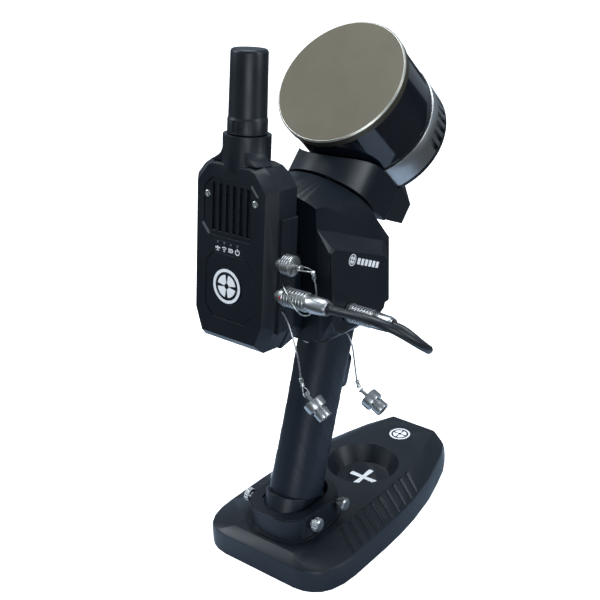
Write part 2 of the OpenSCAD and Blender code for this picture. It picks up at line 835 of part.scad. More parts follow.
// A plug along +Z that covers the receptacle; its cable leaves at z = plug_len
plug_len = 38;
module plug() {
    difference() {
        union() {
            translate([0, 0, 0.5]) cylinder(h = 4, d = plug_d + 0.8);
            translate([0, 0, 4.5]) cylinder(h = 16, d = plug_d - 1.2);
            for (k = [0:5]) translate([0, 0, 6 + 2.4 * k]) cylinder(h = 1.4, d = plug_d);
            translate([0, 0, 20.5]) cylinder(h = plug_len - 22.5, d = plug_d - 1);
            translate([0, 0, plug_len - 2]) cylinder(h = 2, d1 = plug_d - 1, d2 = plug_d - 3);
        }
        translate([0, 0, -1]) cylinder(h = port_reach + 2, d = 11 + 2 * run);
        translate([0, 0, plug_len - 6]) cylinder(h = 7, d = cable_d + 4 * run);
    }
    difference() {
        translate([0, 0, -1.5]) cylinder(h = port_reach + 4, d = 8);
        translate([0, 0, -2.5]) cylinder(h = 8, d = 6);
    }
}

// The lower module port lies on a line that leans; its place is worked out in the shared frame
function case_point(p) = [p[0],
    case_y + p[1] * cos(module_lean) + p[2] * sin(module_lean),
    case_z - p[1] * sin(module_lean) + p[2] * cos(module_lean)];
lower_port = case_point([pad_out, port_y, lower_port_z]);
upper_port = case_point([pad_out, port_y, upper_port_z]);
body_port_point = [panel_half_w, body_port_y, body_port_z];

module module_plug() { color(silver) translate(lower_port) rotate([0, 90, 0]) plug(); }
module body_plug() { color(silver) translate(body_port_point) rotate([0, 90, 0]) plug(); }

// Sweeps a round section along points, with its frame carried by parallel transport
function unit(v) = v / norm(v);
function tangent(p, i) = unit(p[min(i + 1, len(p) - 1)] - p[max(i - 1, 0)]);
function carry(n, t) = unit(n - (n * t) * t);
function normals(p, i, n) = i == len(p) ? []
    : let (m = carry(n, tangent(p, i))) concat([m], normals(p, i + 1, m));
module sweep(p, r, sides) {
    start = abs(tangent(p, 0)[2]) < 0.9 ? [0, 0, 1] : [0, 1, 0];
    n = normals(p, 0, start);
    rings = [for (i = [0:len(p) - 1]) let (t = tangent(p, i), b = cross(t, n[i]))
        for (k = [0:sides - 1]) p[i] + r * (cos(k * 360 / sides) * n[i] + sin(k * 360 / sides) * b)];
    last = (len(p) - 1) * sides;
    skin = [for (i = [0:len(p) - 2], k = [0:sides - 1])
        [i * sides + k, (i + 1) * sides + k, (i + 1) * sides + (k + 1) % sides, i * sides + (k + 1) % sides]];
    polyhedron(rings, concat(skin, [[for (k = [0:sides - 1]) k]],
        [[for (k = [sides - 1:-1:0]) last + k]]));
}

// Catmull-Rom curve through route points, n steps between neighbours
function blend(a, b, c, d, t) = 0.5 * (2 * b + (c - a) * t + (2 * a - 5 * b + 4 * c - d) * t * t
    + (3 * b - a - 3 * c + d) * t * t * t);
function curve(p, n) = concat([for (i = [0:len(p) - 2], k = [0:n - 1])
    blend(p[max(i - 1, 0)], p[i], p[i + 1], p[min(i + 2, len(p) - 1)], k / n)], [p[len(p) - 1]]);

// Jumper cable from the module plug round to the body plug
cable_route = [[72, -83, 246.54], [80, -83, 246.54], [89, -83.1, 247], [98.5, -83.5, 247.8],
    [108.5, -83.6, 248], [118, -82.2, 246.6], [126, -79, 243.2], [132.2, -73.6, 237.6],
    [135.6, -66, 230.8], [135.4, -57.4, 224.4], [131.2, -49, 219], [124, -41.6, 215.6],
    [114.8, -35.6, 214.5], [105.8, -31.8, 215.5], [98.5, -30.3, 217], [92, -30, 217.5], [86, -30, 217.5]];
module jumper_cable() { color(graphite) sweep(curve(cable_route, 2), cable_d / 2, 12); }

// A screwed dust cap along +Z with a post and eye for its lanyard
module dust_cap() {
    difference() {
        cylinder(h = 8, d = 14.5);
        translate([0, 0, -1]) cylinder(h = port_reach + 1.3, d = 11 + 2 * run);
        for (k = [0:23]) rotate(15 * k) translate([7.5, 0, 1]) cylinder(h = 6, r = 0.6, $fn = 16);
    }
    translate([0, 0, 8]) cylinder(h = 5, d = 3);
    translate([0, 0, 13]) cylinder(h = 1, d = 4.4);
}

module upper_dust_cap() {
    color(silver) translate(upper_port) rotate([0, 90, 0]) translate([0, 0, 0.2]) dust_cap();
}

// Ferrule that closes the loop of a lanyard, between two points
module ferrule(a, b) {
    v = b - a;
    translate(a) rotate([0, acos(v[2] / norm(v)), atan2(v[1], v[0])]) cylinder(h = norm(v), d = 3);
}

upper_wire = [[38.6, -84, 256], [43, -87.2, 254.6], [48.5, -90.2, 251], [53.5, -91, 245.5],
    [57.5, -88.2, 239.6], [59.3, -83, 237.6], [59.5, -77, 240], [59.6, -74.6, 246.5],
    [60.4, -75.7, 255], [61.5, -78.5, 262.5]];
upper_ferrule_end = [62, -80.3, 268.2];
upper_loop = [[61.6, -79.6, 268.2], [57, -77.8, 268.4], [52.5, -77.3, 268.2], [50.3, -77.9, 267.2],
    [50, -79.1, 266.3], [50, -80.33, 266], [50, -81.5, 266.3], [50.3, -82.8, 267.2],
    [52.5, -83.4, 268.2], [57, -82.9, 268.4], [61.6, -81, 268.2]];
module upper_lanyard() {
    color(silver) {
        sweep(curve(upper_wire, 3), wire_d / 2, 8);
        ferrule(upper_wire[9], upper_ferrule_end);
        sweep(curve(upper_loop, 3), 0.4, 8);
    }
}

lower_wire = [[38.6, -86.3, 236], [42, -87.2, 234.5], [46, -88.2, 229.5], [50, -89, 221],
    [53, -89, 211], [54.6, -88.6, 201], [55, -88, 191.5]];
lower_ferrule_end = [56.5, -88, 185];
lower_loop = [[56.9, -87.3, 184.6], [58, -86, 183], [59.05, -85.3, 181], [59.9, -85.9, 179.2],
    [59.7, -86.9, 178.2], [59.6, -88, 177.9], [59.7, -89.1, 178.2], [59.9, -90.1, 179.2],
    [59.05, -90.7, 181], [58, -90, 183], [56.9, -88.7, 184.6]];
module lower_lanyard() {
    color(silver) {
        sweep(curve(lower_wire, 4), wire_d / 2, 8);
        ferrule(lower_wire[6], lower_ferrule_end);
        sweep(curve(lower_loop, 3), 0.4, 8);
    }
}

// A cap that hangs on its lanyard along its own +Z, with its threaded nose at the far end
module hanging_cap() {
    translate([0, 0, -2]) cylinder(h = 1, d = 4);
    translate([0, 0, -1]) cylinder(h = 6, d = 2.4);
    translate([0, 0, 5]) difference() {
        cylinder(h = 7, d = 14.5);
        for (k = [0:23]) rotate(15 * k) translate([7.5, 0, -1]) cylinder(h = 9, r = 0.6, $fn = 16);
    }
    translate([0, 0, 12]) cylinder(h = 1.5, d = 8.5);
    translate([0, 0, 13.5]) cylinder(h = 6.5, d = 10.5);
}
lower_cap_at = [60.2, -88, 180];
module lower_dust_cap() {
    color(silver) translate(lower_cap_at) rotate([0, 130, 0]) hanging_cap();
}

body_wire = [[53.1, -36, 205], [57, -36.5, 203.5], [59.8, -37, 199.5], [61.3, -37, 194],
    [62.5, -37, 185], [63.6, -37, 176], [64.5, -37, 169.5]];
body_ferrule_end = [66.7, -37, 164.2];
module body_lanyard() {
    color(silver) {
        sweep(curve(body_wire, 4), wire_d / 2, 8);
        ferrule(body_wire[6], body_ferrule_end);
    }
}
body_cap_at = [69.5, -37, 162];
module body_dust_cap() {
    color(silver) translate(body_cap_at) rotate([0, 117.2, 0]) hanging_cap();
}

base_plate();
base_bottom_cover();
base_grip_pads();
marker_cross();
base_emblem();
socket_collar();
collar_bolts();
clamp_screw_rear_right();
clamp_screw_front_right();
clamp_screw_front_left();
clamp_screw_rear_left();
handle_frame();
handle_grip();
handle_foot();
battery_pack();
trigger_button();
power_button();
main_housing();
bottom_cover();
right_side_panel();
left_side_panel();
front_camera();
front_camera_glass();
main_board();
head_motor();
head_bearing();
body_port();
turntable();
head_spindle();
lidar_bracket();
bracket_screws();
lidar_base();
lidar_window();
lidar_cap();
lidar_hub();
lidar_rotor();
module_case();
module_back_cover();
module_bracket();
heat_sink();
heat_sink_screws();
status_lights();
service_cover();
module_badge();
module_port_upper();
module_port_lower();
module_board();
antenna_connector();
antenna_housing();
antenna_helix();
module_plug();
body_plug();
jumper_cable();
upper_dust_cap();
upper_lanyard();
lower_lanyard();
lower_dust_cap();
body_lanyard();
body_dust_cap();
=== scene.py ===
"""Looks for the hand-held mobile scanner with its gnss module, standing in its base plate."""
import json
import math
import bmesh
import bpy
from mathutils import Matrix, Vector


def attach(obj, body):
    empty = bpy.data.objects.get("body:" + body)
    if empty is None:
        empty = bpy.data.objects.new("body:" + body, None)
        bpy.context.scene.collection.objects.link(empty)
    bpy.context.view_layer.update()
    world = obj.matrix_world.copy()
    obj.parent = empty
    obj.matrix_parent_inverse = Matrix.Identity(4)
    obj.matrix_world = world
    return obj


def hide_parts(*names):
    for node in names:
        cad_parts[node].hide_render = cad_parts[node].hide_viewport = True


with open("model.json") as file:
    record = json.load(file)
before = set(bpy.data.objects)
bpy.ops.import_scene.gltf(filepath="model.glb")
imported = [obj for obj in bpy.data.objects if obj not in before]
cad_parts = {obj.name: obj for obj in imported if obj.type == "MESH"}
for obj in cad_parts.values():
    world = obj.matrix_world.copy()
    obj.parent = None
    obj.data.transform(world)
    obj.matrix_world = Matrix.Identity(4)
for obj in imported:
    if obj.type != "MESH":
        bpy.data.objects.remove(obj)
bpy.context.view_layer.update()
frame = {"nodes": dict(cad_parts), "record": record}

NODES = frame["nodes"]
BODY_OF = {n: b for b, names in frame["record"]["behaviour"]["bodies"].items() for n in names}
SLOT_OF = {s["node"]: s["material_slot"] for s in frame["record"]["subparts"]}
MM = 0.001

# ------------------------------------------------------------------ camera and cords


def make_camera():
    """The camera stands behind the object on its right and looks a little down on it."""
    azimuth, elevation, roll = (math.radians(a) for a in (39.4, 24.6, -2.0))
    target, distance, focal = Vector((0, -0.019, 0.2089)), 0.8034, 64.86
    back = Vector((math.sin(azimuth) * math.cos(elevation),
                   -math.cos(azimuth) * math.cos(elevation), math.sin(elevation)))
    right = Vector((math.cos(azimuth), math.sin(azimuth), 0))
    up = back.cross(right)
    right, up = (math.cos(roll) * right + math.sin(roll) * up,
                 math.cos(roll) * up - math.sin(roll) * right)
    data = bpy.data.cameras.new("camera")
    data.lens = focal
    data.sensor_width = 36
    data.clip_start, data.clip_end = 0.01, 20
    camera = bpy.data.objects.new("camera", data)
    turn = Matrix((right, up, back)).transposed()
    camera.matrix_world = Matrix.Translation(target + distance * back) @ turn.to_4x4()
    bpy.context.scene.collection.objects.link(camera)
    bpy.context.scene.camera = camera


def smooth_route(points, steps):
    """Catmull-Rom points through a route, the same rule that the model's own tubes follow."""
    p = [Vector(q) * MM for q in points]
    out = []
    for i in range(len(p) - 1):
        a, b = p[max(i - 1, 0)], p[i]
        c, d = p[i + 1], p[min(i + 2, len(p) - 1)]
        for k in range(steps):
            t = k / steps
            out.append(0.5 * (2 * b + (c - a) * t + (2 * a - 5 * b + 4 * c - d) * t ** 2
                              + (3 * b - a - 3 * c + d) * t ** 3))
    return out + [p[-1]]


def cord_curve(name, points, diameter, material):
    """One open poly spline along the points, with a round section."""
    data = bpy.data.curves.new(name, "CURVE")
    data.dimensions = "3D"
    data.bevel_depth = diameter / 2
    data.bevel_resolution = 5
    data.use_fill_caps = True
    spline = data.splines.new("POLY")
    spline.points.add(len(points) - 1)
    for point, co in zip(spline.points, points):
        point.co = (*co, 1)
    data.materials.append(material)
    obj = bpy.data.objects.new(name, data)
    bpy.context.scene.collection.objects.link(obj)
    return obj


JUMPER_ROUTE = [(72, -83, 246.54), (80, -83, 246.54), (89, -83.1, 247), (98.5, -83.5, 247.8),
                (108.5, -83.6, 248), (118, -82.2, 246.6), (126, -79, 243.2), (132.2, -73.6, 237.6),
                (135.6, -66, 230.8), (135.4, -57.4, 224.4), (131.2, -49, 219), (124, -41.6, 215.6),
                (114.8, -35.6, 214.5), (105.8, -31.8, 215.5), (98.5, -30.3, 217), (92, -30, 217.5),
                (86, -30, 217.5)]
UPPER_WIRE = [(38.6, -84, 256), (43, -87.2, 254.6), (48.5, -90.2, 251), (53.5, -91, 245.5),
              (57.5, -88.2, 239.6), (59.3, -83, 237.6), (59.5, -77, 240), (59.6, -74.6, 246.5),
              (60.4, -75.7, 255), (61.5, -78.5, 262.5)]
UPPER_FERRULE = ((61.5, -78.5, 262.5), (62, -80.3, 268.2))
UPPER_LOOP = [(61.6, -79.6, 268.2), (57, -77.8, 268.4), (52.5, -77.3, 268.2), (50.3, -77.9, 267.2),
              (50, -79.1, 266.3), (50, -80.33, 266), (50, -81.5, 266.3), (50.3, -82.8, 267.2),
              (52.5, -83.4, 268.2), (57, -82.9, 268.4), (61.6, -81, 268.2)]
LOWER_WIRE = [(38.6, -86.3, 236), (42, -87.2, 234.5), (46, -88.2, 229.5), (50, -89, 221),
              (53, -89, 211), (54.6, -88.6, 201), (55, -88, 191.5)]
LOWER_FERRULE = ((55, -88, 191.5), (56.5, -88, 185))
LOWER_LOOP = [(56.9, -87.3, 184.6), (58, -86, 183), (59.05, -85.3, 181), (59.9, -85.9, 179.2),
              (59.7, -86.9, 178.2), (59.6, -88, 177.9), (59.7, -89.1, 178.2),
              (59.9, -90.1, 179.2), (59.05, -90.7, 181), (58, -90, 183), (56.9, -88.7, 184.6)]
BODY_WIRE = [(53.1, -36, 205), (57, -36.5, 203.5), (59.8, -37, 199.5), (61.3, -37, 194),
             (62.5, -37, 185), (63.6, -37, 176), (64.5, -37, 169.5)]
BODY_FERRULE = ((64.5, -37, 169.5), (66.7, -37, 164.2))
WIRE_D = 1.2 * MM
LOOP_D = 0.8 * MM
CABLE_D = 6 * MM


def ferrule(name, ends):
    """A crimped sleeve that closes a lanyard's loop, a little flattened by the crimping tool."""
    a, b = (Vector(p) * MM for p in ends)
    length = (b - a).length / MM
    profile = [(0, 0), (1.2, 0), (1.5, 0.3), (1.5, length * 0.3), (1.3, length * 0.38),
               (1.3, length * 0.62), (1.5, length * 0.7), (1.5, length - 0.3), (1.2, length), (0, length)]
    turn = (b - a).to_track_quat("Z", "Y").to_matrix().to_4x4()
    return lathe(name, profile, Matrix.Translation(a) @ turn, 24, nickel_metal())


def make_cords():
    points = smooth_route(JUMPER_ROUTE, 2)
    cable = cord_curve("jumper_lead", points, CABLE_D, cable_jacket())
    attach(cable, "jumper")
    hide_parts("jumper_cable")
    make_plugs()
    for name, node, route, ends, loop, far_end, pieces in (
            ("upper_wire", "upper_lanyard", UPPER_WIRE, UPPER_FERRULE, UPPER_LOOP, "object", []),
            ("lower_wire", "lower_lanyard", LOWER_WIRE, LOWER_FERRULE, LOWER_LOOP, "fitting",
             [hanging_cap("lower_cap", "lower_dust_cap", LOWER_CAP)]),
            ("body_wire", "body_lanyard", BODY_WIRE, BODY_FERRULE, None, "fitting",
             [hanging_cap("body_cap", "body_dust_cap", BODY_CAP)])):
        points = smooth_route(route, 4)
        wire = cord_curve(name, points, WIRE_D, steel_wire())
        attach(wire, "scanner")
        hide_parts(node)
        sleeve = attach(ferrule(name + "_ferrule", ends), "scanner")
        extra = pieces + [sleeve]
        if loop:
            ring = cord_curve(name + "_loop", smooth_route(loop, 4), LOOP_D, steel_wire())
            extra.append(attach(ring, "scanner"))


# ------------------------------------------------------------------ shapes


def frame_at(place, lean):
    return Matrix.Translation(Vector(place) * MM) @ Matrix.Rotation(math.radians(-lean), 4, "X")


HEAD = frame_at((0, 20, 281), 45)
LIDAR = HEAD @ Matrix.Translation((0, 0, 68 * MM)) @ Matrix.Rotation(math.radians(-90), 4, "X")
CASE = frame_at((0, -69, 336), 7)
HANDLE = frame_at((0, -40, 27), 20)
ALONG_X = Matrix.Rotation(math.radians(90), 4, "Y")


def at(x, y, z):
    return Matrix.Translation(Vector((x, y, z)) * MM)


PLUG_AT = CASE @ at(38.5, -3, -90.5)
PLUG = Matrix.Translation(PLUG_AT.translation) @ ALONG_X
BODY_PLUG = at(53, -30, 217.5) @ ALONG_X
UPPER_PORT = Matrix.Translation((CASE @ at(38.5, -3, -68.5)).translation) @ ALONG_X
LOWER_CAP = at(60.2, -88, 180) @ Matrix.Rotation(math.radians(130), 4, "Y")
BODY_CAP = at(69.5, -37, 162) @ Matrix.Rotation(math.radians(117.2), 4, "Y")


def finish_mesh(name, bm, material, sharp=32):
    """Turns a bmesh in metres into an object with smooth faces and sharp edges past an angle."""
    bmesh.ops.recalc_face_normals(bm, faces=bm.faces)
    data = bpy.data.meshes.new(name)
    bm.to_mesh(data)
    bm.free()
    data.shade_smooth()
    data.set_sharp_from_angle(angle=math.radians(sharp))
    data.materials.append(material)
    obj = bpy.data.objects.new(name, data)
    bpy.context.scene.collection.objects.link(obj)
    return obj


def lathe(name, profile, matrix, segments, material, shape=None, sharp=32):
    """Turns (radius, height) points in mm round Z. shape(r, z, angle) may change the radius."""
    bm = bmesh.new()
    rings = []
    for r, z in profile:
        if r == 0:
            rings.append([bm.verts.new(matrix @ (Vector((0, 0, z)) * MM))])
            continue
        ring = []
        for k in range(segments):
            a = 2 * math.pi * k / segments
            q = shape(r, z, a) if shape else r
            ring.append(bm.verts.new(matrix @ (Vector((q * math.cos(a), q * math.sin(a), z)) * MM)))
        rings.append(ring)
    for lower, upper in zip(rings, rings[1:]):
        for k in range(segments):
            n = (k + 1) % segments
            corners = [lower[k % len(lower)], lower[n % len(lower)], upper[n % len(upper)],
                       upper[k % len(upper)]]
            bm.faces.new(list(dict.fromkeys(corners)))
    return finish_mesh(name, bm, material, sharp)


def prisms(name, outlines, matrix, depth, material):
    """Extrudes closed (x, y) outlines in mm along Z by depth, as one object."""
    bm = bmesh.new()
    for outline in outlines:
        low = [bm.verts.new(matrix @ (Vector((x, y, 0)) * MM)) for x, y in outline]
        high = [bm.verts.new(matrix @ (Vector((x, y, depth)) * MM)) for x, y in outline]
        bm.faces.new(low[::-1])
        bm.faces.new(high)
        for k in range(len(low)):
            n = (k + 1) % len(low)
            bm.faces.new([low[k], low[n], high[n], high[k]])
    return finish_mesh(name, bm, material)


def arc(radius, start, end, steps=16, centre=(0, 0)):
    return [(centre[0] + radius * math.cos(math.radians(start + (end - start) * k / steps)),
             centre[1] + radius * math.sin(math.radians(start + (end - start) * k / steps)))
            for k in range(steps + 1)]


def sector(outer, inner, start, end, centre=(0, 0)):
    return arc(outer, start, end, 20, centre) + arc(inner, end, start, 20, centre)


def target_outlines(radius, centre=(0, 0)):
    """A plain survey target: a ring and four quarters with a thin cross of background between."""
    ring = [sector(radius, radius * 0.82, q, q + 90, centre) for q in (0, 90, 180, 270)]
    gap = 9  # degrees
    quarters = [sector(radius * 0.66, radius * 0.16, q + gap, q + 90 - gap, centre)
                for q in (0, 90, 180, 270)]
    return ring + quarters


def refined(node, width=0.5, segments=2, angle=28, sharp=28):
    """A copy of a CAD node whose edges are really rounded; it stands for the node."""
    source = NODES[node]
    data = source.data.copy()
    bm = bmesh.new()
    bm.from_mesh(data)
    bmesh.ops.remove_doubles(bm, verts=bm.verts, dist=2e-6)
    bmesh.ops.dissolve_limit(bm, angle_limit=math.radians(0.6), verts=bm.verts, edges=bm.edges)
    bm.to_mesh(data)
    bm.free()
    data.shade_smooth()
    data.set_sharp_from_angle(angle=math.radians(sharp))
    obj = bpy.data.objects.new("fine_" + node, data)
    bpy.context.scene.collection.objects.link(obj)
    bevel = obj.modifiers.new("rounding", "BEVEL")
    bevel.width = width * MM
    bevel.segments = segments
    bevel.limit_method = "ANGLE"
    bevel.angle_limit = math.radians(angle)
    bevel.use_clamp_overlap = True
    bevel.harden_normals = True
    data.materials.clear()
    data.materials.append(SLOTS[SLOT_OF[node]]())
    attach(obj, BODY_OF[node])
    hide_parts(node)
    return obj


def belongs(obj, body, slot, *nodes):
    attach(obj, body)
    if nodes:
        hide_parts(*nodes)
    return obj


# ------------------------------------------------------------------ connectors


def knurl(count, depth, low, high):
    """A shape for lathe() that cuts count grooves between two heights."""
    def shape(r, z, a):
        inside = low <= z <= high
        return r - depth * (0.5 + 0.5 * math.cos(count * a)) if inside else r
    return shape


def plug_profile():
    """A push-pull plug from mouth to cable: a flange, seven rounded grip rings, a smooth sleeve."""
    p = [(5.55, 0.5), (6.9, 0.5), (7.15, 0.8), (7.15, 3.6), (6.9, 3.9), (6.0, 4.0)]
    for k in range(7):
        z = 4.4 + 2.5 * k
        p += [(5.6, z), (6.4, z + 0.15), (6.7, z + 0.45), (6.8, z + 0.75), (6.7, z + 1.05),
              (6.4, z + 1.3), (5.6, z + 1.45)]
    return p + [(5.6, 22.6), (6.1, 22.8), (6.25, 23.2), (6.1, 28), (5.8, 34.8), (5.6, 35.6), (5.0, 36.9),
                (4.8, 37.2), (4.8, 38), (3.2, 38), (3.1, 37.7), (3.1, 33)]


def make_plugs():
    out = []
    for name, node, place in (("near_plug", "module_plug", PLUG), ("far_plug", "body_plug", BODY_PLUG)):
        shell = lathe(name, plug_profile(), place, 96, nickel_metal())
        out.append(belongs(shell, "jumper", "nickel_metal", node))
        dot = lathe(name + "_dot", [(0, 0), (0.9, 0), (0.9, 0.25), (0.6, 0.35), (0, 0.35)],
                    place @ at(-1.6, -6.9, 2.4) @ Matrix.Rotation(math.radians(90), 4, "X"), 20,
                    red_paint())
        out.append(belongs(dot, "jumper", "nickel_metal"))
    return out


def cap_profile():
    """A cap with four turned grip rings, a flat top and a post for its lanyard."""
    rings = []
    for z in (0.2, 2.0, 3.8, 5.6):
        rings += [(6.6, z), (7.1, z + 0.15), (7.25, z + 0.45), (7.25, z + 0.95), (7.1, z + 1.25),
                  (6.6, z + 1.4)]
    top = [(6.9, 7.2), (7.0, 7.5), (6.8, 7.9), (6.2, 8.2), (2.0, 8.2)]
    post = [(1.5, 8.4), (1.5, 12.9), (2.1, 13.1), (2.2, 13.3), (2.2, 14), (2.0, 14.2), (0, 14.2)]
    return [(5.6, 0.2)] + rings + top + post


def make_screwed_cap():
    cap = lathe("closed_cap", cap_profile(), UPPER_PORT, 144, nickel_metal())
    belongs(cap, "screwed_cap", "nickel_metal", "upper_dust_cap")


def hanging_cap(name, node, place):
    profile = [(0, -2), (1.8, -2), (2, -1.8), (2, -1.2), (1.2, -1), (1.2, 4.8), (2.6, 5), (6.6, 5.1),
               (7.25, 5.6), (7.25, 11.4), (6.9, 12), (4.25, 12), (4.25, 13.4), (5.0, 13.5), (5.25, 13.8),
               (5.25, 15.4), (4.9, 15.6), (4.9, 16), (5.25, 16.2), (5.25, 19.6), (5.0, 20), (4.2, 20),
               (4.2, 17), (0, 17)]
    cap = lathe(name, profile, place, 144, nickel_metal(), knurl(36, 0.4, 5.7, 11.3))
    return belongs(cap, "scanner", "nickel_metal", node)


# ------------------------------------------------------------------ materials

EDGE_R = 0.5 * MM


class Nodes:
    """A material's node tree, with short names for adding and linking nodes."""

    def __init__(self, name):
        self.material = bpy.data.materials.new(name)
        self.material.use_nodes = True
        self.tree = self.material.node_tree
        self.shader = self.tree.nodes["Principled BSDF"]
        self.place = self.add("ShaderNodeTexCoord").outputs["Object"]

    def add(self, kind, **values):
        node = self.tree.nodes.new(kind)
        for key, value in values.items():
            if hasattr(node, key):
                setattr(node, key, value)
            else:
                node.inputs[key].default_value = value
        return node

    def link(self, a, b):
        self.tree.links.new(a, b)

    def set(self, **values):
        for key, value in values.items():
            self.shader.inputs[key.replace("_", " ")].default_value = value

    def noise(self, scale, detail=3, stretch=None):
        node = self.add("ShaderNodeTexNoise", Scale=scale, Detail=detail)
        if stretch:
            mapping = self.add("ShaderNodeMapping", Scale=stretch)
            self.link(self.place, mapping.inputs["Vector"])
            self.link(mapping.outputs[0], node.inputs["Vector"])
        else:
            self.link(self.place, node.inputs["Vector"])
        return node.outputs["Fac"]

    def ranged(self, value, low, high, from_low=0.3, from_high=0.7):
        node = self.add("ShaderNodeMapRange", **{"From Min": from_low, "From Max": from_high,
                                                 "To Min": low, "To Max": high})
        self.link(value, node.inputs["Value"])
        return node.outputs["Result"]

    def maths(self, operation, a, b):
        node = self.add("ShaderNodeMath", operation=operation)
        for socket, value in zip(node.inputs, (a, b)):
            if isinstance(value, (int, float)):
                socket.default_value = value
            else:
                self.link(value, socket)
        return node.outputs[0]

    def mixed(self, factor, a, b):
        node = self.add("ShaderNodeMix", data_type="RGBA")
        for socket, value in ((node.inputs[0], factor), (node.inputs[6], a), (node.inputs[7], b)):
            if isinstance(value, (int, float)):
                socket.default_value = value
            elif isinstance(value, tuple):
                socket.default_value = (*value[:3], 1)
            else:
                self.link(value, socket)
        return node.outputs[2]

    def bump(self, height, distance, strength=1.0, normal=None):
        node = self.add("ShaderNodeBump", Strength=strength, Distance=distance)
        self.link(height, node.inputs["Height"])
        if normal:
            self.link(normal, node.inputs["Normal"])
        return node.outputs["Normal"]

    def rounded(self, radius=EDGE_R):
        return self.add("ShaderNodeBevel", samples=4, Radius=radius).outputs["Normal"]

    def wear(self, rounded):
        """1 on sharp edges, 0 on flats: how far the rounded normal leaves the true one."""
        dot = self.add("ShaderNodeVectorMath", operation="DOT_PRODUCT")
        self.link(rounded, dot.inputs[0])
        self.link(self.add("ShaderNodeNewGeometry").outputs["Normal"], dot.inputs[1])
        return self.ranged(dot.outputs["Value"], 1, 0, 0.75, 0.98)


_made = {}


def kept(make):
    """Makes each material once."""
    def wrapper():
        if make.__name__ not in _made:
            _made[make.__name__] = make()
        return _made[make.__name__]
    return wrapper


def plastic(name, colour, rough, grain=1900, depth=0.00004, worn=0.5, gloss=0.30):
    """Moulded plastic: fine spark-eroded grain, faint mottling, slightly polished worn edges."""
    n = Nodes(name)
    rounded = n.rounded()
    edge = n.maths("MULTIPLY", n.wear(rounded), n.ranged(n.noise(240, 4), 0, worn, 0.35, 0.65))
    mottled = n.mixed(n.noise(34, 4), tuple(c * 0.86 for c in colour), tuple(c * 1.16 for c in colour))
    pale = tuple(min(1, c * 1.8 + 0.006) for c in colour)
    n.link(n.mixed(edge, mottled, pale), n.shader.inputs["Base Color"])
    handled = n.ranged(n.noise(21, 5), rough - 0.07, rough + 0.07)
    n.link(n.maths("SUBTRACT", handled, n.maths("MULTIPLY", edge, 0.1)), n.shader.inputs["Roughness"])
    fine = n.bump(n.noise(grain, 2), depth, 0.6, rounded)
    n.link(fine, n.shader.inputs["Normal"])
    n.set(Specular_IOR_Level=gloss)
    return n.material


@kept
def charcoal_plastic():
    return plastic("charcoal_plastic", (0.0036, 0.0068, 0.0116), 0.40, gloss=0.42)


@kept
def graphite_plastic():
    return plastic("graphite_plastic", (0.0040, 0.0072, 0.0120), 0.37, gloss=0.42)


@kept
def soft_rubber():
    return plastic("soft_rubber", (0.0056, 0.0098, 0.0166), 0.46, grain=1300, depth=0.00006, worn=0.25)


@kept
def battery_wrap():
    return plastic("battery_wrap", (0.02, 0.06, 0.20), 0.3, worn=0.1)


@kept
def white_print():
    return plastic("white_print", (0.96, 0.96, 0.97), 0.45, worn=0.0)


@kept
def red_paint():
    return plastic("red_paint", (0.55, 0.02, 0.02), 0.4, worn=0.0)


@kept
def cable_jacket():
    n = Nodes("cable_jacket")
    n.link(n.mixed(n.noise(80, 4), (0.006, 0.008, 0.011), (0.012, 0.015, 0.020)),
           n.shader.inputs["Base Color"])
    n.link(n.ranged(n.noise(160, 4), 0.34, 0.50), n.shader.inputs["Roughness"])
    n.link(n.bump(n.noise(900, 2), 0.00004, 0.5), n.shader.inputs["Normal"])
    return n.material


def metal(name, colour, rough, scratch=(1, 1, 1), brushed=700, worn=0.3, spread=0.08, edges=0.00025):
    """Metal with fine tool marks, uneven polish and slightly bright edges."""
    n = Nodes(name)
    rounded = n.rounded(edges)
    edge = n.maths("MULTIPLY", n.wear(rounded), n.ranged(n.noise(300, 4), 0, worn, 0.35, 0.65))
    base = n.mixed(n.noise(60, 4), tuple(c * 0.90 for c in colour), tuple(min(1, c * 1.06) for c in colour))
    bright = tuple(min(1, c * 1.25 + 0.05) for c in colour)
    n.link(n.mixed(edge, base, bright), n.shader.inputs["Base Color"])
    marks = n.noise(brushed, 4, scratch)
    n.link(n.maths("ADD", n.ranged(marks, rough - spread, rough + spread),
                   n.ranged(n.noise(26, 4), -0.04, 0.04)), n.shader.inputs["Roughness"])
    n.link(n.bump(marks, 0.000004, 0.15, rounded), n.shader.inputs["Normal"])
    n.set(Metallic=1.0)
    return n.material


@kept
def nickel_metal():
    return metal("nickel_metal", (0.47, 0.475, 0.47), 0.30, scratch=(4, 1, 1), spread=0.03,
                 edges=0.0001)


@kept
def steel_wire():
    return metal("steel_wire", (0.50, 0.51, 0.50), 0.3)


@kept
def cap_aluminium():
    return metal("cap_aluminium", (0.128, 0.114, 0.086), 0.52, brushed=2600, worn=0.2, spread=0.05)


# Pale metal for the lidar cap's rim ring: a painted highlight along the rim's chamfer, brighter than the
# cap's own aluminium.
@kept
def rim_highlight_metal():
    return metal("rim_highlight_metal", (0.62, 0.60, 0.53), 0.40, worn=0.0)


@kept
def bare_aluminium():
    return metal("bare_aluminium", (0.46, 0.465, 0.465), 0.34, scratch=(1, 6, 6))


@kept
def copper():
    return metal("copper", (0.72, 0.36, 0.20), 0.3)


@kept
def dark_window():
    n = Nodes("dark_window")
    n.link(n.mixed(n.noise(18, 3), (0.0030, 0.0046, 0.0080), (0.0055, 0.0075, 0.0125)),
           n.shader.inputs["Base Color"])
    n.link(n.ranged(n.noise(90, 5), 0.05, 0.10), n.shader.inputs["Roughness"])
    n.set(Specular_IOR_Level=0.5, Coat_Weight=0.25, Coat_Roughness=0.05)
    return n.material


